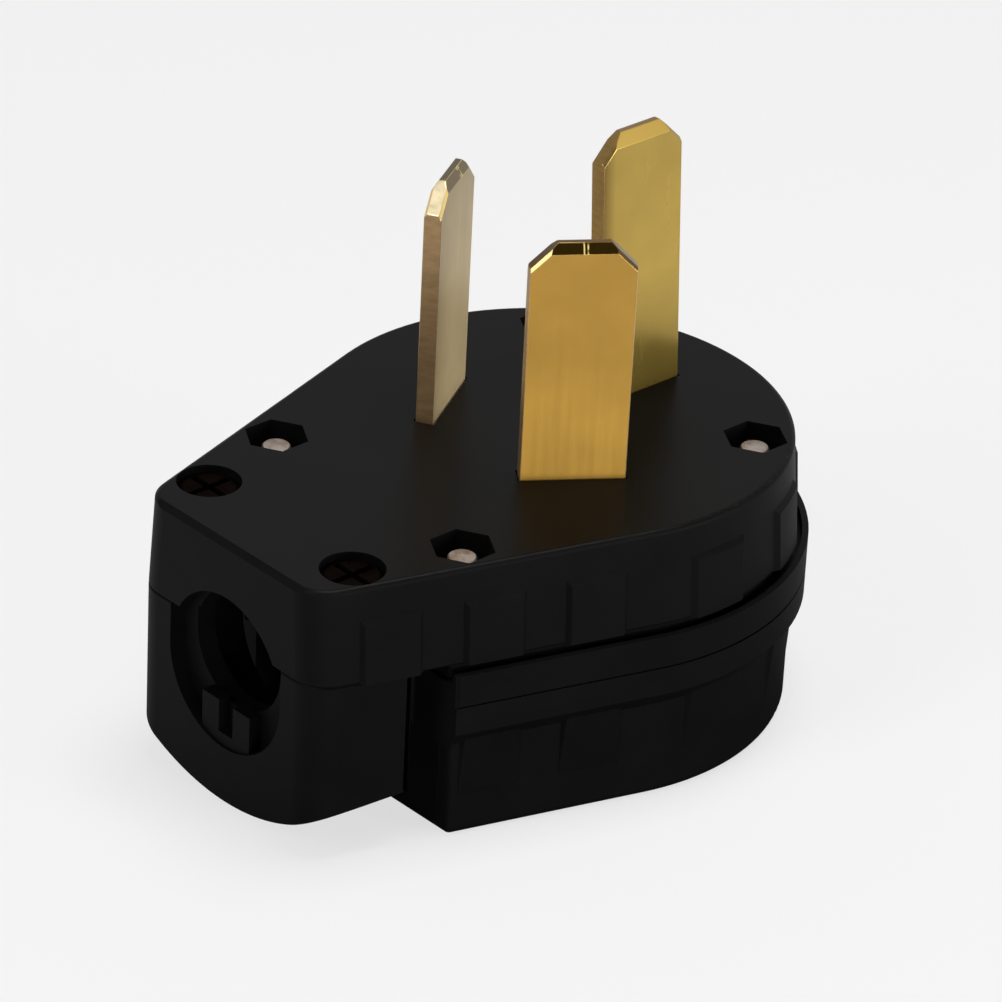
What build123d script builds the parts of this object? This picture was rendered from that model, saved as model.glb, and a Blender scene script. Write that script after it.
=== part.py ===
from build123d import *
import os
from math import acos, atan2, cos, degrees, hypot, radians, sin, tan

# A three pole straight blade angle plug, in millimetres.
# The origin is on the resting plane, under the centre of the round face.
# Z runs up along the blades, and the cord enters from -Y.

# Housing outline, seen along Z
face_radius = 34.3
cord_end_reach = 57.2
cord_end_half_width = 18.2
cord_end_corner = 5.4

# Housing heights and walls
housing_depth = 40.5
front_depth = 14.0
front_draft = 1.0
wall = 3.0
face_wall = 4.0
floor_wall = 3.0
face_edge_round = 0.8
cord_end_bevel = 0.8
seam_edge_round = 0.35
edge_break = 0.25

# Rear cover, its finger flange and the moat between the flange's lip and the seam
cover_reach = 38.2
cover_corner = 0.8
cover_edge_round = 1.2
rim_inset = 0.7
cord_opening_half_width = 17.5
flange_overhang = 1.85
flange_nose = 0.6
flange_lower_nose = 0.8
flange_drop = 0.7
flange_upper_band = 4.6
flange_lower_band = 4.4
flange_line = 0.3
flange_taper = 2.4
moat_depth = 1.6
lip_width = 0.9

# Grip pads around the housing
pad_width = 9.0
pad_height = 0.6
pad_end_slope = 45.0
pad_run_out = 0.1
pad_below_face = 4.8
pad_above_floor = 4.5
side_pad_count = 3
side_pad_start = 8.8
side_pad_pitch = 14.8
arc_pad_count = 7

# Cord passage: mouth, grip ring and channel, stacked from the cord end, with their axes below the seam
body_mouth_drop = 5.1
body_mouth_radius = 11.0
clamp_mouth_drop = 5.7
clamp_mouth_radius = 11.4
mouth_depth = 2.4
ring_drop = 3.0
ring_radius = 8.6
ring_length = 3.0

# Cord clamp and its grip posts
clamp_length = 12.6
clamp_belly_radius = 34.0
clamp_belly_height = 1.2
clamp_belly_lean = 4.0
post_width = 3.45
post_gap = 2.9
post_rise = 6.6
post_web_rise = 1.8
post_setback = 0.4

# Assembly screws and nuts, driven from the rear cover
assembly_edge_distance = 6.4
assembly_front_setback = 5.2
assembly_boss_radius = 6.0
assembly_boss_gap = 1.55
assembly_seat_height = 4.0
assembly_end_depth = 1.5
nut_seat_depth = 8.5
nut_pocket_clearance = 0.45

# Clamp screws and nuts, driven from the face
clamp_screw_setback = 8.9
clamp_screw_wall = 1.05
clamp_screw_length = 28.0
clamp_counterbore_clearance = 0.43
clamp_seat_depth = 4.0
clamp_nut_rise = 1.7
clamp_screw_run_out = 0.6

# Four millimetre fasteners
screw_radius = 2.0
screw_hole_clearance = 0.25
cheese_head_radius = 3.5
cheese_head_height = 2.6
cheese_counterbore_clearance = 0.3
pan_head_radius = 4.0
pan_head_height = 3.1
head_round = 0.6
drive_width = 1.0
drive_depth = 1.4
screw_point = 0.2
nut_flats = 7.0
nut_height = 3.2
nut_clearance = 0.1

# Blades
blade_width = 14.4
blade_thickness = 2.5
line_blade_height = 35.0
earth_blade_height = 39.2
earth_blade_lean = 3.5
blade_corner = 3.6
line_bevel_height = 1.4
earth_bevel_height = 2.0
tip_bevel_depth = 0.8
corner_bevel_depth = 0.4
corner_bevel_height = 0.4
slot_clearance = 0.25
line_blade_inset = 18.5
line_blade_spread = 32.6
left_blade_angle = 30.5
right_blade_angle = 34.5
earth_blade_inset = 19.0

# Blade feet and wire terminals
foot_width = 11.0
foot_wall_gap = 0.8
foot_thickness = 2.5
heel_round = 1.8
terminal_end_distance = 4.6
terminal_screw_radius = 2.5
terminal_screw_length = 12.0
terminal_head_radius = 4.75
terminal_head_height = 3.7
terminal_hole_clearance = 0.1
terminal_relief_radius_clearance = 0.7
terminal_relief_end_clearance = 0.3
washer_radius = 4.5
washer_hole_clearance = 0.2
washer_thickness = 1.0
saddle_gap = 5.0
saddle_thickness = 1.6
saddle_start = 1.5
saddle_hole_clearance = 0.25
wire_groove_radius = 3.2
wire_groove_depth = 0.6
rib_back = 2.5
rib_front = 0.9

# Heights that follow from the sizes above
face_height = housing_depth
seam_height = housing_depth - front_depth
inner_face_height = face_height - face_wall
foot_low = inner_face_height - foot_thickness
flange_top = seam_height - flange_drop
band_split = flange_top - flange_upper_band
band_low = band_split - flange_lower_band
taper_low = band_low - flange_taper
nut_seat_height = face_height - nut_seat_depth
assembly_tip_height = face_height - assembly_end_depth
assembly_screw_length = assembly_tip_height - assembly_seat_height
clamp_seat_height = face_height - clamp_seat_depth
clamp_tip_height = clamp_seat_height - clamp_screw_length
clamp_nut_height = clamp_tip_height + clamp_nut_rise
saddle_high = foot_low - saddle_gap
saddle_low = saddle_high - saddle_thickness
terminal_seat_height = saddle_low - washer_thickness
terminal_tip_height = terminal_seat_height + terminal_screw_length
body_mouth_axis_height = seam_height - body_mouth_drop
clamp_mouth_axis_height = seam_height - clamp_mouth_drop
ring_axis_height = seam_height - ring_drop
mouth_end = cord_end_reach - mouth_depth
ring_end = mouth_end - ring_length
clamp_back = cord_end_reach - clamp_length
cavity_reach = cover_reach - wall

# Outline of the sides: tangents from the cord end's corners to the round end
corner_distance = hypot(cord_end_half_width, cord_end_reach)
corner_angle = atan2(cord_end_reach, cord_end_half_width)
side_angle = corner_angle - acos(face_radius / corner_distance)

# Holes that follow from the fasteners in them
screw_hole_radius = screw_radius + screw_hole_clearance
cheese_counterbore_radius = cheese_head_radius + cheese_counterbore_clearance
clamp_counterbore_radius = pan_head_radius + clamp_counterbore_clearance
nut_pocket_flats = nut_flats + 2 * nut_pocket_clearance
terminal_hole_radius = terminal_screw_radius + terminal_hole_clearance
terminal_relief_radius = terminal_screw_radius + terminal_relief_radius_clearance
washer_hole_radius = terminal_screw_radius + washer_hole_clearance
saddle_hole_radius = terminal_screw_radius + saddle_hole_clearance

# Blade places, and feet that reach from them to the housing's wall
line_blade_radius = face_radius - line_blade_inset
line_blade_x = line_blade_radius * cos(radians(line_blade_spread))
line_blade_y = -line_blade_radius * sin(radians(line_blade_spread))
earth_blade_y = face_radius - earth_blade_inset
foot_room_radius = face_radius - front_draft - wall
foot_length = (foot_room_radius ** 2 - (foot_width / 2) ** 2) ** 0.5 - line_blade_radius - foot_wall_gap
terminal_offset = foot_length - terminal_end_distance

overlap = 1.0
tall = 2 * housing_depth
wide = 4 * face_radius


def side_x(grow, reach):
    """Half the outline's width at y = -reach, with the outline grown outwards."""
    return (face_radius + grow - reach * sin(side_angle)) / cos(side_angle)


def outline(grow, reach, corner):
    """The housing's outline, grown outwards and cut off at y = -reach."""
    radius = face_radius + grow
    tangent = (radius * cos(side_angle), -radius * sin(side_angle))
    front = (side_x(grow, reach), -reach)
    right = Line(front, tangent)
    left = Line((-tangent[0], tangent[1]), (-front[0], front[1]))
    rear = ThreePointArc(tangent, (0, radius), (-tangent[0], tangent[1]))
    end = Line((-front[0], front[1]), front)
    face = make_face([right, rear, left, end])
    if corner > 0:
        front_corners = face.vertices().sort_by(Axis.Y)[:2]
        face = fillet(front_corners, corner)
    return face


def prism(face, low, high):
    """A plan face raised between two heights."""
    return extrude(Pos(0, 0, low) * face, amount=high - low)


def drafted(low_growth, high_growth, reach, corner, low, high):
    """The outline raised between two heights, with its sides leaning from one growth to the other."""
    bottom = Pos(0, 0, low) * outline(low_growth, reach, corner)
    top = Pos(0, 0, high) * outline(high_growth, reach, corner)
    return loft([bottom, top], ruled=True)


def front_growth(height):
    """Growth of the drafted front body's outline at a height."""
    return front_draft * (seam_height - height) / front_depth


def upright(radius, x, y, low, high):
    """A round bar or bore along Z."""
    return Pos(x, y, low) * Cylinder(radius, high - low, align=(Align.CENTER, Align.CENTER, Align.MIN))


def block(x_low, x_high, y_low, y_high, z_low, z_high):
    """A box between its corner values."""
    size = (x_high - x_low, y_high - y_low, z_high - z_low)
    return Pos(x_low, y_low, z_low) * Box(*size, align=(Align.MIN, Align.MIN, Align.MIN))


def hexagon(across_flats, x, y, low, high):
    """A hexagonal prism with two corners on its Y axis."""
    sketch = RegularPolygon(across_flats / 2, 6, major_radius=False, rotation=90)
    return Pos(x, y, low) * extrude(sketch, amount=high - low)


def tunnel(radius, axis_height, reach_out, reach_in):
    """A passage along Y: round below its axis, straight up to the seam above it."""
    bore = Pos(0, -reach_out, axis_height) * Rot(-90, 0, 0) * Cylinder(
        radius, reach_out - reach_in, align=(Align.CENTER, Align.CENTER, Align.MIN))
    return bore + block(-radius, radius, -reach_out, -reach_in, axis_height, seam_height + overlap)


def arch(radius, axis_height, reach_out, reach_in):
    """A round passage along Y."""
    return Pos(0, -reach_out, axis_height) * Rot(-90, 0, 0) * Cylinder(
        radius, reach_out - reach_in, align=(Align.CENTER, Align.CENTER, Align.MIN))


def assembly_places():
    """The four assembly screws, at one distance inside the outline, the rear ones beside the feet."""
    front_reach = cover_reach - assembly_front_setback
    front_x = side_x(-assembly_edge_distance, front_reach)
    rear_radius = face_radius - assembly_edge_distance
    rear_x = foot_length + assembly_boss_gap + assembly_boss_radius
    rear_y = (rear_radius ** 2 - rear_x ** 2) ** 0.5
    return [(side * x, y) for x, y in ((front_x, -front_reach), (rear_x, rear_y)) for side in (-1, 1)]


def clamp_places():
    """The two clamp screws, just clear of the cord passage."""
    x = clamp_mouth_radius + clamp_screw_wall + screw_hole_radius
    return [(side * x, clamp_screw_setback - cord_end_reach) for side in (-1, 1)]


def pole_places():
    """Where each blade stands: its local X points along its foot, its local Y along its width."""
    return {
        "left": Location((-line_blade_x, line_blade_y, 0), (0, 0, 180 + left_blade_angle)),
        "right": Location((line_blade_x, line_blade_y, 0), (0, 0, -right_blade_angle)),
        "earth": Location((0, earth_blade_y, 0), (0, 0, 180)),
    }


def grip_windows(low, high, lean, cord_side_limit):
    """Windows for the grip pads, leaning with the wall, on both sides and around the round end."""
    half = pad_width / 2
    reach = 2 * overlap
    spread = reach * tan(radians(pad_end_slope))
    corners = [
        (-reach, -spread - half),
        (reach, spread - half),
        (reach, half - spread),
        (-reach, spread + half),
    ]
    plan = Pos(0, 0, -overlap) * make_face(Polyline(*corners, close=True))
    window = Rot(0, -lean, 0) * extrude(plan, amount=high - low + 2 * overlap)
    places = []
    for step in range(side_pad_count):
        along = side_pad_start + step * side_pad_pitch
        x = face_radius * cos(side_angle) - along * sin(side_angle)
        y = -face_radius * sin(side_angle) - along * cos(side_angle)
        if y - half > -cord_side_limit:
            turn = degrees(side_angle)
            places.append(Location((x, y, low), (0, 0, -turn)))
            places.append(Location((-x, y, low), (0, 0, 180 + turn)))
    for step in range(arc_pad_count):
        turn = step * 180 / (arc_pad_count - 1)
        x = face_radius * cos(radians(turn))
        y = face_radius * sin(radians(turn))
        places.append(Location((x, y, low), (0, 0, turn)))
    return Compound(children=[place * window for place in places])


def grip_pads(stages, lean, cord_side_limit):
    """Raised pads on a wall, given the heights where their faces turn and the outline's growth there."""
    raised = Part()
    for (low, low_growth), (high, high_growth) in zip(stages, stages[1:]):
        raised += drafted(low_growth, high_growth, cord_end_reach, 0, low, high)
    windows = grip_windows(stages[0][0], stages[-1][0], lean, cord_side_limit)
    return [raised & window for window in windows.children]


def make_front_body():
    """The moulded front half, with the blade slots and the upper half of the cord passage."""
    body = drafted(0, -front_draft, cord_end_reach, cord_end_corner, seam_height, face_height)
    body = fillet(body.edges().group_by(Axis.Z)[-1], face_edge_round)
    body = fillet(body.edges().group_by(Axis.Z)[0], seam_edge_round)
    bevel = Plane((0, -cord_end_reach, face_height - cord_end_bevel), z_dir=(0, -1, 1))
    body = split(body, bisect_by=bevel, keep=Keep.BOTTOM)
    high = face_height - pad_below_face
    shoulder = high - pad_height
    stages = [
        (seam_height, front_growth(seam_height) + pad_height),
        (shoulder, front_growth(shoulder) + pad_height),
        (high, front_growth(high)),
    ]
    lean = degrees(atan2(front_draft, front_depth))
    body += grip_pads(stages, lean, cord_end_reach)
    inside = outline(-front_draft - wall, cavity_reach, 0)
    cavity = prism(inside, seam_height - overlap, inner_face_height)
    for x, y in assembly_places():
        cavity -= upright(assembly_boss_radius, x, y, seam_height - overlap, face_height)
    body -= cavity
    body -= arch(body_mouth_radius, body_mouth_axis_height, cord_end_reach + overlap, mouth_end)
    body -= arch(ring_radius, ring_axis_height, mouth_end + overlap, ring_end - overlap)
    body -= arch(body_mouth_radius, body_mouth_axis_height, ring_end, cavity_reach - overlap)
    for x, y in assembly_places():
        body -= upright(screw_hole_radius, x, y, seam_height - overlap, face_height)
        body -= hexagon(nut_pocket_flats, x, y, nut_seat_height, face_height + overlap)
    for x, y in clamp_places():
        body -= upright(screw_hole_radius, x, y, seam_height - overlap, face_height)
        body -= upright(clamp_counterbore_radius, x, y, clamp_seat_height, face_height + overlap)
    for place in pole_places().values():
        half = blade_thickness / 2 + slot_clearance
        half_width = blade_width / 2 + slot_clearance
        slot = block(-half, half, -half_width, half_width, foot_low, face_height + overlap)
        relief_top = terminal_tip_height + terminal_relief_end_clearance
        relief = upright(terminal_relief_radius, terminal_offset, 0, foot_low, relief_top)
        body -= place * slot
        body -= place * relief
    return body


def make_flange():
    """The finger flange: two bands with a line between them, a taper below and a moat on top."""
    band_reach = cover_reach + flange_lower_nose
    upper = prism(outline(flange_overhang, cover_reach + flange_nose, cover_corner), band_split, flange_top)
    lower = prism(outline(flange_overhang, band_reach, 0), band_low, band_split - flange_line)
    line = prism(outline(flange_overhang - flange_line, band_reach, 0), band_low, flange_top)
    taper = drafted(0, flange_overhang, band_reach, 0, taper_low, band_low)
    moat = prism(outline(flange_overhang - lip_width, tall, 0), flange_top - moat_depth, seam_height)
    return upper + [lower, line, taper] - moat


def make_rear_cover():
    """The moulded rear half: a cup with a finger flange, screw bosses and ribs under the blades."""
    cover = prism(outline(0, cover_reach, cover_corner), 0, band_low)
    cover = fillet(cover.edges().group_by(Axis.Z)[0], cover_edge_round)
    cover += make_flange()
    cover += prism(outline(-rim_inset, cover_reach, cover_corner), taper_low, seam_height)
    stages = [(pad_above_floor, -pad_run_out), (taper_low + flange_taper / 2, pad_height)]
    cover += grip_pads(stages, 0, cover_reach)
    cavity = prism(outline(-wall, cavity_reach, 0), floor_wall, seam_height + overlap)
    half = cord_opening_half_width
    front = cover_reach + flange_lower_nose + overlap
    cavity += block(-half, half, -front, overlap - cavity_reach, floor_wall, seam_height + overlap)
    for x, y in assembly_places():
        cavity -= upright(assembly_boss_radius, x, y, 0, seam_height + overlap)
    cover -= cavity
    for x, y in assembly_places():
        cover -= upright(screw_hole_radius, x, y, 0, seam_height + overlap)
        cover -= upright(cheese_counterbore_radius, x, y, -overlap, assembly_seat_height)
    half_rib = foot_width / 2
    for place in pole_places().values():
        cover += place * block(-rib_back, rib_front, -half_rib, half_rib, floor_wall - overlap, foot_low)
    return cover


def make_cord_clamp():
    """The moulded saddle that closes the cord passage, with two grip posts in its mouth."""
    clamp = prism(outline(0, cord_end_reach, cord_end_corner), 0, seam_height)
    clamp &= block(-wide, wide, -cord_end_reach, -clamp_back, -overlap, tall)
    belly = arch(clamp_belly_radius, clamp_belly_radius, clamp_length, -2 * clamp_length)
    clamp &= Pos(0, -cord_end_reach, clamp_belly_height) * Rot(-clamp_belly_lean, 0, 0) * belly
    clamp = chamfer(clamp.faces().sort_by(Axis.Z)[-1].edges(), edge_break)
    clamp -= tunnel(clamp_mouth_radius, clamp_mouth_axis_height, cord_end_reach + overlap, mouth_end)
    clamp -= tunnel(ring_radius, ring_axis_height, mouth_end + overlap, ring_end - overlap)
    clamp -= tunnel(clamp_mouth_radius, clamp_mouth_axis_height, ring_end, clamp_back - overlap)
    mouth_floor = clamp_mouth_axis_height - clamp_mouth_radius
    post_front = post_setback - cord_end_reach
    post_low = mouth_floor - overlap
    for side in (-1, 1):
        inner, outer = sorted((side * post_gap / 2, side * (post_gap / 2 + post_width)))
        clamp += block(inner, outer, post_front, -mouth_end, post_low, mouth_floor + post_rise)
    web_high = mouth_floor + post_web_rise
    clamp += block(-post_gap / 2, post_gap / 2, post_front, -mouth_end, post_low, web_high)
    nut_half = nut_flats / 2 + nut_clearance
    nut_tip = nut_half / cos(radians(30))
    hole_low = clamp_tip_height - clamp_screw_run_out
    slot_low = clamp_nut_height
    slot_top = clamp_nut_height + nut_height + nut_clearance
    for x, y in clamp_places():
        clamp -= upright(screw_hole_radius, x, y, hole_low, seam_height + overlap)
        clamp -= block(x - nut_half, x + nut_half, y - nut_tip, -clamp_back + overlap, slot_low, slot_top)
    return clamp


def make_blade(height, lean, bevel_height):
    """A blade with a beveled tip and a bent foot, standing at the origin of its own place."""
    half = blade_thickness / 2
    turn = radians(lean)
    mitre = half * tan(turn / 2)
    tip = Location((0, 0, face_height), (0, lean, 0))
    tip_right = (half * cos(turn) + height * sin(turn), face_height + height * cos(turn) - half * sin(turn))
    tip_left = (-half * cos(turn) + height * sin(turn), face_height + height * cos(turn) + half * sin(turn))
    points = [
        (-half, foot_low),
        (foot_length, foot_low),
        (foot_length, inner_face_height),
        (half, inner_face_height),
        (half, face_height - mitre),
        tip_right,
        tip_left,
        (-half, face_height + mitre),
    ]
    strip = make_face(Polyline(*points, close=True))
    blade = extrude(Plane.XZ * strip, amount=blade_width / 2, both=True)
    heel = blade.edges().filter_by(Axis.Y).group_by(Axis.Z)[0].sort_by(Axis.X)[0]
    blade = fillet(heel, heel_round)
    for side in (-1, 1):
        near, far = sorted((side * foot_width / 2, side * blade_width))
        blade -= block(-wide, wide, near, far, foot_low - overlap, inner_face_height)
    half_width = blade_width / 2
    cuts = []
    for side in (-1, 1):
        corner_edge = Vector(0, side * (half_width - blade_corner / 2), height - blade_corner / 2)
        corner_out = Vector(0, side, 1).normalized()
        cuts.append((corner_edge, corner_out))
        for face in (-1, 1):
            inset = Vector(face * (half - corner_bevel_depth), 0, 0)
            slope = corner_out * corner_bevel_depth + Vector(face * corner_bevel_height, 0, 0)
            cuts.append((corner_edge + inset, slope))
    for face in (-1, 1):
        inset = Vector(face * (half - tip_bevel_depth), 0, height)
        cuts.append((inset, Vector(face * bevel_height, 0, tip_bevel_depth)))
    blade = tip.inverse() * blade
    for origin, normal in cuts:
        blade = split(blade, bisect_by=Plane(origin, z_dir=normal), keep=Keep.BOTTOM)
    blade = tip * blade
    blade -= upright(terminal_hole_radius, terminal_offset, 0, foot_low - overlap, face_height)
    return blade


def make_saddle():
    """The wire clamp under a foot: a plate with a groove for the wire and one bent leg."""
    half = foot_width / 2
    plate = block(saddle_start, foot_length, -half, half, saddle_low, saddle_high)
    leg = block(foot_length - saddle_thickness, foot_length, -half, half, saddle_low, foot_low)
    saddle = plate + leg
    outer_bend = saddle.edges().filter_by(Axis.Y).sort_by(Axis.X)[-2:].sort_by(Axis.Z)[0]
    saddle = fillet(outer_bend, saddle_thickness / 2)
    wire_x = (saddle_start + terminal_offset - terminal_screw_radius) / 2
    groove_axis = saddle_high + wire_groove_radius - wire_groove_depth
    groove = Pos(wire_x, 0, groove_axis) * Rot(90, 0, 0) * Cylinder(wire_groove_radius, 2 * foot_width)
    hole = upright(saddle_hole_radius, terminal_offset, 0, saddle_low - overlap, saddle_high + overlap)
    return saddle - groove - hole


def make_screw(radius, length, head_radius, head_height, cross):
    """A screw along +Z from the underside of its head at zero, with its head below."""
    shank = upright(radius, 0, 0, 0, length)
    shank = chamfer(shank.edges().group_by(Axis.Z)[-1], screw_point)
    head = upright(head_radius, 0, 0, -head_height, 0)
    head = fillet(head.edges().group_by(Axis.Z)[0], head_round)
    reach = head_radius - head_round if cross else head_radius + overlap
    half_drive = drive_width / 2
    slot = block(-reach, reach, -half_drive, half_drive, -head_height - overlap, drive_depth - head_height)
    head -= slot
    if cross:
        head -= Rot(0, 0, 90) * slot
    return shank + head


def make_nut():
    """A hexagon nut that stands on zero, with two corners on its Y axis."""
    thread = upright(screw_radius, 0, 0, -overlap, nut_height + overlap)
    return hexagon(nut_flats, 0, 0, 0, nut_height) - thread


def make_washer():
    """A plain washer that stands on zero."""
    ring = upright(washer_radius, 0, 0, 0, washer_thickness)
    return ring - upright(washer_hole_radius, 0, 0, -overlap, washer_thickness + overlap)


def group(places, solid):
    """Copies of one fastener, kept as separate solids."""
    return Compound(children=[place * solid for place in places])


poles = pole_places()
line_blade = make_blade(line_blade_height, 0, line_bevel_height)
earth_blade = make_blade(earth_blade_height, earth_blade_lean, earth_bevel_height)
saddle = make_saddle()
assembly_screw = make_screw(
    screw_radius, assembly_screw_length, cheese_head_radius, cheese_head_height, False)
clamp_screw = make_screw(screw_radius, clamp_screw_length, pan_head_radius, pan_head_height, True)
terminal_screw = make_screw(
    terminal_screw_radius, terminal_screw_length, terminal_head_radius, terminal_head_height, True)
nut = make_nut()

nodes = {
    "front_body": make_front_body(),
    "rear_cover": make_rear_cover(),
    "cord_clamp": make_cord_clamp(),
    "line_blade_left": poles["left"] * line_blade,
    "line_blade_right": poles["right"] * line_blade,
    "earth_blade": poles["earth"] * earth_blade,
}
for pole, place in poles.items():
    nodes["terminal_saddle_" + pole] = place * saddle
nodes["terminal_washers"] = group(
    [place * Pos(terminal_offset, 0, terminal_seat_height) for place in poles.values()], make_washer())
nodes["terminal_screws"] = group(
    [place * Pos(terminal_offset, 0, terminal_seat_height) for place in poles.values()], terminal_screw)
nodes["assembly_screws"] = group(
    [Pos(x, y, assembly_seat_height) for x, y in assembly_places()], assembly_screw)
nodes["assembly_nuts"] = group([Pos(x, y, nut_seat_height) for x, y in assembly_places()], nut)
nodes["clamp_screws"] = group(
    [Pos(x, y, clamp_seat_height) * Rot(180, 0, 0) for x, y in clamp_places()], clamp_screw)
nodes["clamp_nuts"] = group([Pos(x, y, clamp_nut_height) for x, y in clamp_places()], nut)

os.makedirs("parts", exist_ok=True)
for name, solid in nodes.items():
    export_step(solid, "parts/" + name + ".step")
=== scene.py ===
from math import cos, radians, sin

import bpy
from mathutils import Matrix, Vector


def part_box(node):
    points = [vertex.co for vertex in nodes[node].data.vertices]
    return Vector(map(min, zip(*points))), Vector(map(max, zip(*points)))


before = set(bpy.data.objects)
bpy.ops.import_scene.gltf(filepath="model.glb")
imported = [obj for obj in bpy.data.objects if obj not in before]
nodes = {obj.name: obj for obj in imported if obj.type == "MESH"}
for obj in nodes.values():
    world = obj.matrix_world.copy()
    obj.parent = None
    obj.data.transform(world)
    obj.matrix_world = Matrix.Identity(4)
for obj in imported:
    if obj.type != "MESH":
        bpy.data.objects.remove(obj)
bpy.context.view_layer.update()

# Camera, from the photograph's viewing angle
FACE_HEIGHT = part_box("front_body")[1].z
CAMERA_AZIMUTH = radians(46.767)
CAMERA_ELEVATION = radians(29.167)
CAMERA_ROLL = radians(2.899)
CAMERA_DISTANCE = 0.78381
CAMERA_SHIFT_RIGHT = -0.0069125
CAMERA_SHIFT_UP = -0.0112865
CAMERA_LENS = 206.396
CAMERA_NEAR = 0.01
CAMERA_FAR = 20.0
SENSOR_WIDTH = 36.0

# Stage: the backdrop, the floor with painted shade around the plug's foot that only reflections see, and
# surroundings that darken on the camera's side
BACKDROP = (0.855, 0.855, 0.855)
FLOOR_HALF = 3.0
FLOOR_SHADOW = 0.2
FLOOR_DULL = (0.35, 0.35, 0.35)
FLOOR_PAINTED_SHADE_CENTRE = (0.055, -0.014, 0.0)
FLOOR_PAINTED_SHADE_SCALE = 5.0
FLOOR_PAINTED_SHADE = [(0.25, 0.06), (0.55, 1.0)]
DARK_SIDE = (0.5, -0.55, 0.66)
SURROUND = [(0.0, 0.6), (0.6, 0.04)]

# Lamps: place, width, height and power
LAMPS = {
    "key_lamp": ((0.05, 0.12, 1.04), 0.45, 0.45, 8.5),
    "side_lamp": ((0.58, 0.22, 0.12), 0.2, 0.2, 2.2),
    "low_lamp": ((0.52, -0.31, 0.035), 0.3, 0.05, 1.5),
    "front_lamp": ((-0.02, -0.8, 0.6), 0.35, 0.6, 4.2),
}

# Rounded edges of the blades
BLADES = ("line_blade_left", "line_blade_right", "earth_blade")
WELD_DISTANCE = 0.000001
EDGE_ROUND = 0.00012
EDGE_SEGMENTS = 3
EDGE_ANGLE = radians(12)

# Plastic: noise scales, mottling, the turn from walls to the face, and the grain
PLASTIC_BLOTCH_SCALE = 120.0
PLASTIC_DARK = 0.82
PLASTIC_LIGHT = 1.2
WALL_RISE = 0.55
FACE_RISE = 0.95
ROUGHNESS_PATCH = 0.12
GRAIN_SCALE = 4200.0
GRAIN_STRENGTH = 0.08
GRAIN_DEPTH = 0.00004

# Brass: rolling streaks on the flat faces, and tears across the sheared edges
MILLIMETRES = 1000.0
BLADE_REACH = 0.035
BRASS_BLOTCH_SCALE = 160.0
FLAT_DARK = 0.94
FLAT_LIGHT = 1.05
STREAK_SCALE = 900.0
STREAK_STRETCH = (1.0, 1.0, 0.06)
STREAK_STRENGTH = 0.05
STREAK_DEPTH = 0.00003
SHEAR_SCALE = 1500.0
SHEAR_STRETCH = (0.3, 0.3, 1.0)
EDGE_DARK = 0.78
CORNER_DARK = 0.75
EDGE_METALLIC = 0.7
EDGE_ROUGHNESS = (0.3, 0.3, 0.3)

# Scratches across the middle of the bevelled tips
TIP_MIDDLE = 0.00065
SCRATCH = [(0.12, 0.0), (0.2, 1.0), (0.32, 1.0), (0.42, 0.0)]
SCRATCH_TEAR = [(0.4, 0.0), (0.55, 1.0)]
SCRATCH_COLOUR = (0.6, 0.48, 0.16)

# Painted highlight line along the near corner of each tip
PAINTED_HIGHLIGHT_SIDE = [(0.2, 0.0), (0.3, 1.0)]
PAINTED_HIGHLIGHT_TURN = [(0.45, 0.0), (0.6, 1.0), (0.78, 1.0), (0.84, 0.0)]
PAINTED_HIGHLIGHT_COLOUR = (0.66, 0.48, 0.17)
PAINTED_HIGHLIGHT_DULLNESS = 0.4

# Which way a surface of a blade faces: up, straight up, along the bevel or along the flat
UPWARD = [(0.2, 0.0), (0.35, 1.0)]
STRAIGHT_UP = [(0.8, 0.0), (0.9, 1.0)]
BEVEL_TURN = [(0.78, 0.0), (0.84, 1.0)]
FLAT_TURN = [(0.95, 0.0), (0.98, 1.0)]

# Brass colours, one set per blade, with painted light and shade in each: flat faces, sheared edges, bevelled
# tip, cut corners and flat top. The left blade's pale cut corner is a painted highlight.
LEFT_FACING = (0.8616, 0.5075)
LEFT_PAINTED_COLOURS = (
    (0.44, 0.343, 0.185), (0.37, 0.235, 0.11), (0.21, 0.165, 0.09), (0.95, 0.8, 0.5), (0.12, 0.1, 0.055),
)
RIGHT_FACING = (0.8241, -0.5664)
RIGHT_PAINTED_COLOURS = (
    (0.375, 0.213, 0.038), (0.5, 0.33, 0.16), (0.13, 0.075, 0.012), (0.12, 0.07, 0.02), (0.15, 0.08, 0.015),
)
EARTH_FACING = (1.0, 0.0)
EARTH_PAINTED_COLOURS = (
    (0.52, 0.355, 0.07), (0.4, 0.27, 0.1), (0.47, 0.31, 0.065), (0.3, 0.19, 0.06), (0.22, 0.13, 0.045),
)
SADDLE_FACING = (0.0, 0.0)
SADDLE_BRASS = (0.5, 0.34, 0.09)
SADDLE_EDGE = (0.44, 0.3, 0.12)
SADDLE_COLOURS = (SADDLE_BRASS, SADDLE_EDGE, SADDLE_BRASS, SADDLE_BRASS, SADDLE_BRASS)

# Painted shade: a dark band down the near edge of the earth blade's flat face: colour, start and end
EARTH_SHADE_BAND = ((0.2, 0.11, 0.02), 0.0078, 0.0102)

# Steel: a brown film in blotches
STEEL_BLOTCH_SCALE = 700.0
FILM = (0.6, 0.5, 0.4)
FILM_ROUGHNESS = 0.1


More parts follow.
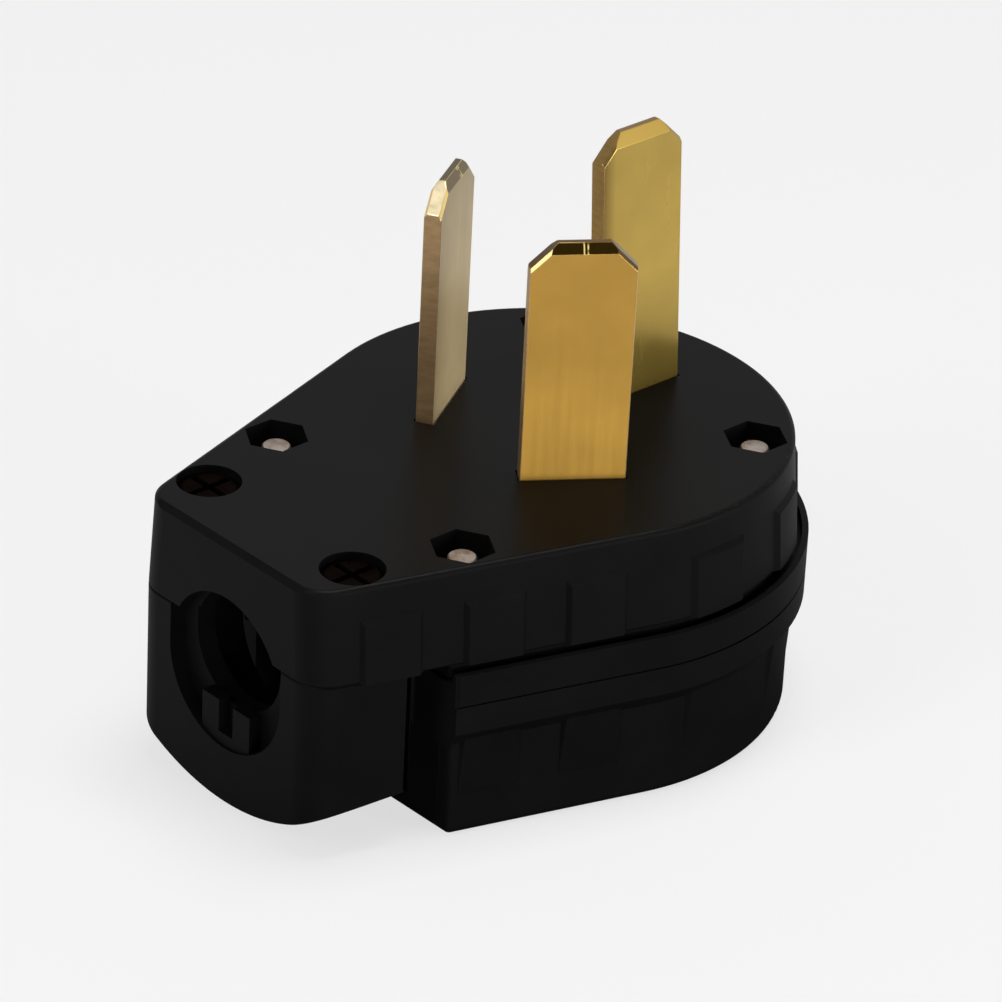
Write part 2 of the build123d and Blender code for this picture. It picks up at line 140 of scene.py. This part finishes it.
def make_camera():
    """A long lens that looks down on the plug from its cord side."""
    back = Vector((
        sin(CAMERA_AZIMUTH) * cos(CAMERA_ELEVATION),
        -cos(CAMERA_AZIMUTH) * cos(CAMERA_ELEVATION),
        sin(CAMERA_ELEVATION),
    ))
    level = Vector((cos(CAMERA_AZIMUTH), sin(CAMERA_AZIMUTH), 0))
    upright = back.cross(level)
    right = cos(CAMERA_ROLL) * level + sin(CAMERA_ROLL) * upright
    up = cos(CAMERA_ROLL) * upright - sin(CAMERA_ROLL) * level
    place = back * CAMERA_DISTANCE + right * CAMERA_SHIFT_RIGHT + up * CAMERA_SHIFT_UP
    place.z += FACE_HEIGHT
    data = bpy.data.cameras.new("camera")
    data.lens = CAMERA_LENS
    data.sensor_width = SENSOR_WIDTH
    data.clip_start = CAMERA_NEAR
    data.clip_end = CAMERA_FAR
    camera = bpy.data.objects.new("camera", data)
    camera.matrix_world = Matrix.Translation(place) @ Matrix((right, up, back)).transposed().to_4x4()
    bpy.context.scene.collection.objects.link(camera)
    bpy.context.scene.camera = camera


def new_material(name):
    """A node material with its tree and its shader."""
    material = bpy.data.materials.new(name)
    material.use_nodes = True
    tree = material.node_tree
    return material, tree, tree.nodes["Principled BSDF"]


def feed(tree, socket, value):
    """Links a socket to another one, or sets it to a value."""
    if isinstance(value, bpy.types.NodeSocket):
        tree.links.new(value, socket)
    elif socket.type == "RGBA" and isinstance(value, tuple):
        socket.default_value = (*value, 1)
    else:
        socket.default_value = value


def add(tree, kind, **inputs):
    """A node with its named inputs fed."""
    node = tree.nodes.new(kind)
    for key, value in inputs.items():
        feed(tree, node.inputs[key], value)
    return node


def mix_shaders(tree, factor, first, second):
    """A shader between two shaders."""
    node = tree.nodes.new("ShaderNodeMixShader")
    for socket, value in zip(node.inputs, (factor, first, second)):
        feed(tree, socket, value)
    return node.outputs[0]


def object_place(tree):
    """The place on the object."""
    return add(tree, "ShaderNodeTexCoord").outputs["Object"]


def noise(tree, place, scale, detail):
    """A cloudy number between nought and one."""
    return add(tree, "ShaderNodeTexNoise", Vector=place, Scale=scale, Detail=detail).outputs[0]


def ramp(tree, factor, stops):
    """A colour ramp with stops of place and grey level or colour."""
    node = tree.nodes.new("ShaderNodeValToRGB")
    tree.links.new(factor, node.inputs[0])
    elements = node.color_ramp.elements
    while len(elements) < len(stops):
        elements.new(0.5)
    for element, (place, colour) in zip(elements, stops):
        element.position = place
        element.color = (colour, colour, colour, 1) if isinstance(colour, float) else (*colour, 1)
    return node.outputs[0]


def vector_math(tree, operation, first, second):
    """A vector or a number made from two vectors."""
    node = tree.nodes.new("ShaderNodeVectorMath")
    node.operation = operation
    feed(tree, node.inputs[0], first)
    feed(tree, node.inputs[1], second)
    return node.outputs["Value" if operation in ("DOT_PRODUCT", "DISTANCE") else "Vector"]


def math(tree, operation, first, second=0.0):
    """A number made from two numbers."""
    node = tree.nodes.new("ShaderNodeMath")
    node.operation = operation
    feed(tree, node.inputs[0], first)
    feed(tree, node.inputs[1], second)
    return node.outputs[0]


def blend(tree, factor, first, second, kind="MIX"):
    """A colour between two colours."""
    node = tree.nodes.new("ShaderNodeMix")
    node.data_type = "RGBA"
    node.blend_type = kind
    for index, value in ((0, factor), (6, first), (7, second)):
        feed(tree, node.inputs[index], value)
    return node.outputs[2]


def upward_share(tree, vector):
    """The upward share of a vector."""
    return vector_math(tree, "DOT_PRODUCT", vector, (0, 0, 1))


def shade(colour, gain):
    """A colour made darker or lighter."""
    return tuple(gain * c for c in colour)


def plastic(name, colour, top_roughness, wall_roughness, specular):
    """Black moulded plastic: a satin face, duller walls and a fine grain."""
    material, tree, shader = new_material(name)
    place = object_place(tree)
    blotch = noise(tree, place, PLASTIC_BLOTCH_SCALE, 5.0)
    grain = noise(tree, place, GRAIN_SCALE, 2.0)
    mottled = ramp(tree, blotch, [(0.3, shade(colour, PLASTIC_DARK)), (0.7, shade(colour, PLASTIC_LIGHT))])
    feed(tree, shader.inputs["Base Color"], mottled)
    normal = add(tree, "ShaderNodeNewGeometry").outputs["Normal"]
    satin = [(WALL_RISE, wall_roughness), (FACE_RISE, top_roughness)]
    level = ramp(tree, upward_share(tree, normal), satin)
    patch = math(tree, "MULTIPLY", math(tree, "SUBTRACT", blotch, 0.5), ROUGHNESS_PATCH)
    feed(tree, shader.inputs["Roughness"], math(tree, "ADD", level, patch))
    shader.inputs["Specular IOR Level"].default_value = specular
    bump = add(tree, "ShaderNodeBump", Strength=GRAIN_STRENGTH, Distance=GRAIN_DEPTH, Height=grain)
    feed(tree, shader.inputs["Normal"], bump.outputs[0])
    return material


def flat_brass(tree, place, across, colour, painted_light_gains, shade_band):
    """The colour of a blade's flat faces, with painted light and shade from its foot to its tip."""
    blotch = noise(tree, place, BRASS_BLOTCH_SCALE, 4.0)
    flat = ramp(tree, blotch, [(0.3, shade(colour, FLAT_DARK)), (0.7, shade(colour, FLAT_LIGHT))])
    # Painted shade: the flat face darkens towards its near edge
    if shade_band:
        band_colour, start, end = shade_band
        inward = math(tree, "MULTIPLY", math(tree, "SUBTRACT", across, start), 1 / (end - start))
        flat = blend(tree, ramp(tree, inward, [(0.0, 1.0), (1.0, 0.0)]), flat, band_colour)
    # Painted light and shade: the flat colour grows lighter or darker with height above the face
    above_face = math(tree, "SUBTRACT", upward_share(tree, place), FACE_HEIGHT)
    height = math(tree, "DIVIDE", above_face, BLADE_REACH)
    base_gain, middle_gain, tip_gain = shade(painted_light_gains, 0.5)
    gain = ramp(tree, height, [(0.0, base_gain), (0.5, middle_gain), (1.0, tip_gain)])
    return blend(tree, 1.0, blend(tree, 1.0, flat, gain, "MULTIPLY"), (2.0, 2.0, 2.0), "MULTIPLY")


def brass(name, facing, colours, roughness, metallic, painted_light_gains=(1.0, 1.0, 1.0), tip_metallic=1.0, shade_band=None):
    """Rolled brass with sheared edges, a bevelled tip and cut corners, each in a colour of its own with
    painted light and shade, and a painted highlight line along the near corner of the tip.
    """
    flat_colour, edge_colour, tip_colour, corner_colour, top_colour = colours
    material, tree, shader = new_material(name)
    place = object_place(tree)
    across = vector_math(tree, "DOT_PRODUCT", place, (-facing[1], facing[0], 0))
    streak = noise(tree, vector_math(tree, "MULTIPLY", place, STREAK_STRETCH), STREAK_SCALE, 4.0)
    shear = noise(tree, vector_math(tree, "MULTIPLY", place, SHEAR_STRETCH), SHEAR_SCALE, 5.0)

    # Colour of each kind of surface, with painted light and shade set per blade
    flat = flat_brass(tree, place, across, flat_colour, painted_light_gains, shade_band)
    edge = ramp(tree, shear, [(0.35, shade(edge_colour, EDGE_DARK)), (0.65, edge_colour)])
    corner = ramp(tree, shear, [(0.3, shade(corner_colour, CORNER_DARK)), (0.55, corner_colour)])
    from_middle = math(tree, "MULTIPLY", math(tree, "SUBTRACT", TIP_MIDDLE, across), MILLIMETRES)
    scratch = ramp(tree, math(tree, "ABSOLUTE", from_middle), SCRATCH)
    torn = math(tree, "MULTIPLY", scratch, ramp(tree, shear, SCRATCH_TEAR))
    tip = blend(tree, torn, tip_colour, SCRATCH_COLOUR)

    # Where each kind of surface lies
    normal = add(tree, "ShaderNodeNewGeometry").outputs["True Normal"]
    along = math(tree, "ABSOLUTE", vector_math(tree, "DOT_PRODUCT", normal, (*facing, 0)))
    rise = upward_share(tree, normal)
    upward = ramp(tree, rise, UPWARD)
    on_top = ramp(tree, rise, STRAIGHT_UP)
    on_tip = math(tree, "MULTIPLY", upward, ramp(tree, along, BEVEL_TURN))
    on_flat = ramp(tree, along, FLAT_TURN)
    # Painted highlight: a pale, less metallic line along the near corner of the tip
    turned = math(tree, "MULTIPLY", upward, ramp(tree, along, PAINTED_HIGHLIGHT_TURN))
    sheen_and_wear = math(tree, "MULTIPLY", ramp(tree, from_middle, PAINTED_HIGHLIGHT_SIDE), turned)

    colour = blend(tree, upward, edge, corner)
    colour = blend(tree, on_top, colour, top_colour)
    colour = blend(tree, sheen_and_wear, colour, PAINTED_HIGHLIGHT_COLOUR)
    colour = blend(tree, on_tip, colour, tip)
    colour = blend(tree, on_flat, colour, flat)
    feed(tree, shader.inputs["Base Color"], colour)

    metal = math(tree, "ADD", math(tree, "MULTIPLY", on_tip, tip_metallic - EDGE_METALLIC), EDGE_METALLIC)
    metal = math(tree, "SUBTRACT", metal, math(tree, "MULTIPLY", torn, on_tip))
    metal = math(tree, "SUBTRACT", metal, math(tree, "MULTIPLY", sheen_and_wear, PAINTED_HIGHLIGHT_DULLNESS))
    feed(tree, shader.inputs["Metallic"], blend(tree, on_flat, metal, (metallic, metallic, metallic)))

    low, high = roughness
    satin = ramp(tree, streak, [(0.3, low), (0.7, high)])
    feed(tree, shader.inputs["Roughness"], blend(tree, on_flat, EDGE_ROUGHNESS, satin))
    bump = add(tree, "ShaderNodeBump", Strength=STREAK_STRENGTH, Distance=STREAK_DEPTH, Height=streak)
    feed(tree, shader.inputs["Normal"], bump.outputs[0])
    return material


def steel(name, colour, roughness, metallic=1.0, specular=0.5):
    """Plated steel with a worn, slightly brown film."""
    material, tree, shader = new_material(name)
    blotch = noise(tree, object_place(tree), STEEL_BLOTCH_SCALE, 5.0)
    film = tuple(part * c for part, c in zip(FILM, colour))
    feed(tree, shader.inputs["Base Color"], ramp(tree, blotch, [(0.35, film), (0.6, colour)]))
    shader.inputs["Metallic"].default_value = metallic
    shader.inputs["Specular IOR Level"].default_value = specular
    sheen_and_wear = ramp(tree, blotch, [(0.3, roughness + FILM_ROUGHNESS), (0.7, roughness)])
    feed(tree, shader.inputs["Roughness"], sheen_and_wear)
    return material


def make_world():
    """Grey studio surroundings that darken towards the camera's side."""
    world = bpy.data.worlds.new("studio")
    bpy.context.scene.world = world
    world.use_nodes = True
    tree = world.node_tree
    tree.nodes.clear()
    direction = add(tree, "ShaderNodeTexCoord").outputs["Generated"]
    surround = ramp(tree, vector_math(tree, "DOT_PRODUCT", direction, DARK_SIDE), SURROUND)
    seen = add(tree, "ShaderNodeLightPath").outputs["Is Camera Ray"]
    background = add(tree, "ShaderNodeBackground", Color=blend(tree, seen, surround, BACKDROP), Strength=1.0)
    add(tree, "ShaderNodeOutputWorld", Surface=background.outputs[0])


def make_floor():
    """A wide pale floor that keeps a soft shadow, with painted shade around the plug's foot that only
    reflections see.
    """
    mesh = bpy.data.meshes.new("floor")
    half = FLOOR_HALF
    corners = [(-half, -half, 0), (half, -half, 0), (half, half, 0), (-half, half, 0)]
    mesh.from_pydata(corners, [], [(0, 1, 2, 3)])
    floor = bpy.data.objects.new("floor", mesh)
    bpy.context.scene.collection.objects.link(floor)
    material = bpy.data.materials.new("floor")
    material.use_nodes = True
    tree = material.node_tree
    tree.nodes.clear()
    # Painted shade: the floor that reflections see is darker near the plug's foot
    away = vector_math(tree, "DISTANCE", object_place(tree), FLOOR_PAINTED_SHADE_CENTRE)
    mirrored_shade = ramp(tree, math(tree, "MULTIPLY", away, FLOOR_PAINTED_SHADE_SCALE), FLOOR_PAINTED_SHADE)
    path = add(tree, "ShaderNodeLightPath")
    shown = add(tree, "ShaderNodeEmission", Color=BACKDROP, Strength=1.0)
    reflected = add(tree, "ShaderNodeEmission", Color=mirrored_shade, Strength=1.0)
    paper = add(tree, "ShaderNodeBsdfDiffuse", Color=BACKDROP)
    dull = add(tree, "ShaderNodeBsdfDiffuse", Color=FLOOR_DULL)
    picture = mix_shaders(tree, FLOOR_SHADOW, shown.outputs[0], paper.outputs[0])
    glossy = math(tree, "MAXIMUM", path.outputs["Is Glossy Ray"], path.outputs["Is Transmission Ray"])
    hidden = mix_shaders(tree, glossy, dull.outputs[0], reflected.outputs[0])
    surface = mix_shaders(tree, path.outputs["Is Camera Ray"], hidden, picture)
    add(tree, "ShaderNodeOutputMaterial", Surface=surface)
    mesh.materials.append(material)


def make_lamp(name, place, width, height, power):
    """A soft lamp that faces the plug."""
    data = bpy.data.lights.new(name, "AREA")
    data.shape = "RECTANGLE"
    data.size = width
    data.size_y = height
    data.energy = power
    lamp = bpy.data.objects.new(name, data)
    lamp.location = place
    lamp.rotation_mode = "QUATERNION"
    lamp.rotation_quaternion = (Vector((0, 0, FACE_HEIGHT)) - Vector(place)).to_track_quat("-Z", "Y")
    bpy.context.scene.collection.objects.link(lamp)


def soften(name):
    """Rounds the sharp edges of a CAD node."""
    weld = nodes[name].modifiers.new("weld", "WELD")
    weld.merge_threshold = WELD_DISTANCE
    bevel = nodes[name].modifiers.new("soft_edges", "BEVEL")
    bevel.width = EDGE_ROUND
    bevel.segments = EDGE_SEGMENTS
    bevel.limit_method = "ANGLE"
    bevel.angle_limit = EDGE_ANGLE
    nodes[name].modifiers.new("even_shading", "WEIGHTED_NORMAL")


def dress(material, *names):
    """Gives CAD nodes a material."""
    for name in names:
        for slot in nodes[name].material_slots:
            slot.material = material


bpy.context.scene.view_settings.view_transform = "Standard"
make_camera()
make_world()
make_floor()
for lamp_name, lamp in LAMPS.items():
    make_lamp(lamp_name, *lamp)
for blade in BLADES:
    soften(blade)

# Housing
dress(plastic("front_plastic", (0.0026, 0.0024, 0.0023), 0.34, 0.6, 0.058), "front_body")
dress(plastic("rear_plastic", (0.0026, 0.0025, 0.0024), 0.5, 0.62, 0.055), "rear_cover")
dress(plastic("clamp_plastic", (0.0026, 0.0025, 0.0024), 0.5, 0.6, 0.055), "cord_clamp")

# Blades and wire saddles; the tuple after each blade's metallic holds painted light and shade gains for its
# foot, middle and tip
dress(
    brass("line_brass_left", LEFT_FACING, LEFT_PAINTED_COLOURS, (0.44, 0.52), 0.5, (1.5, 1.04, 0.68)),
    "line_blade_left",
)
dress(
    brass("line_brass_right", RIGHT_FACING, RIGHT_PAINTED_COLOURS, (0.4, 0.48), 0.8, (1.7, 1.04, 0.86)),
    "line_blade_right",
)
dress(
    brass("earth_brass", EARTH_FACING, EARTH_PAINTED_COLOURS, (0.22, 0.28), 0.7, (0.45, 0.8, 0.69), 0.7, EARTH_SHADE_BAND),
    "earth_blade",
)
dress(
    brass("saddle_brass", SADDLE_FACING, SADDLE_COLOURS, (0.35, 0.42), 1.0),
    "terminal_saddle_left", "terminal_saddle_right", "terminal_saddle_earth",
)

# Fasteners
# Terminal washers and screws: steel darkened towards black, painted shade for the dark inside of the plug
dress(steel("washer_steel", (0.06, 0.055, 0.05), 0.5), "terminal_washers")
dress(steel("terminal_steel", (0.03, 0.026, 0.022), 0.5), "terminal_screws")
dress(steel("screw_steel", (0.52, 0.45, 0.4), 0.35), "assembly_screws")
dress(steel("nut_steel", (0.3, 0.28, 0.25), 0.4), "assembly_nuts", "clamp_nuts")
# Clamp screws: near black with almost no reflection, painted shade for the dark counterbores
dress(steel("clamp_screw_steel", (0.003, 0.0014, 0.0011), 0.4, 0.0, 0.005), "clamp_screws")
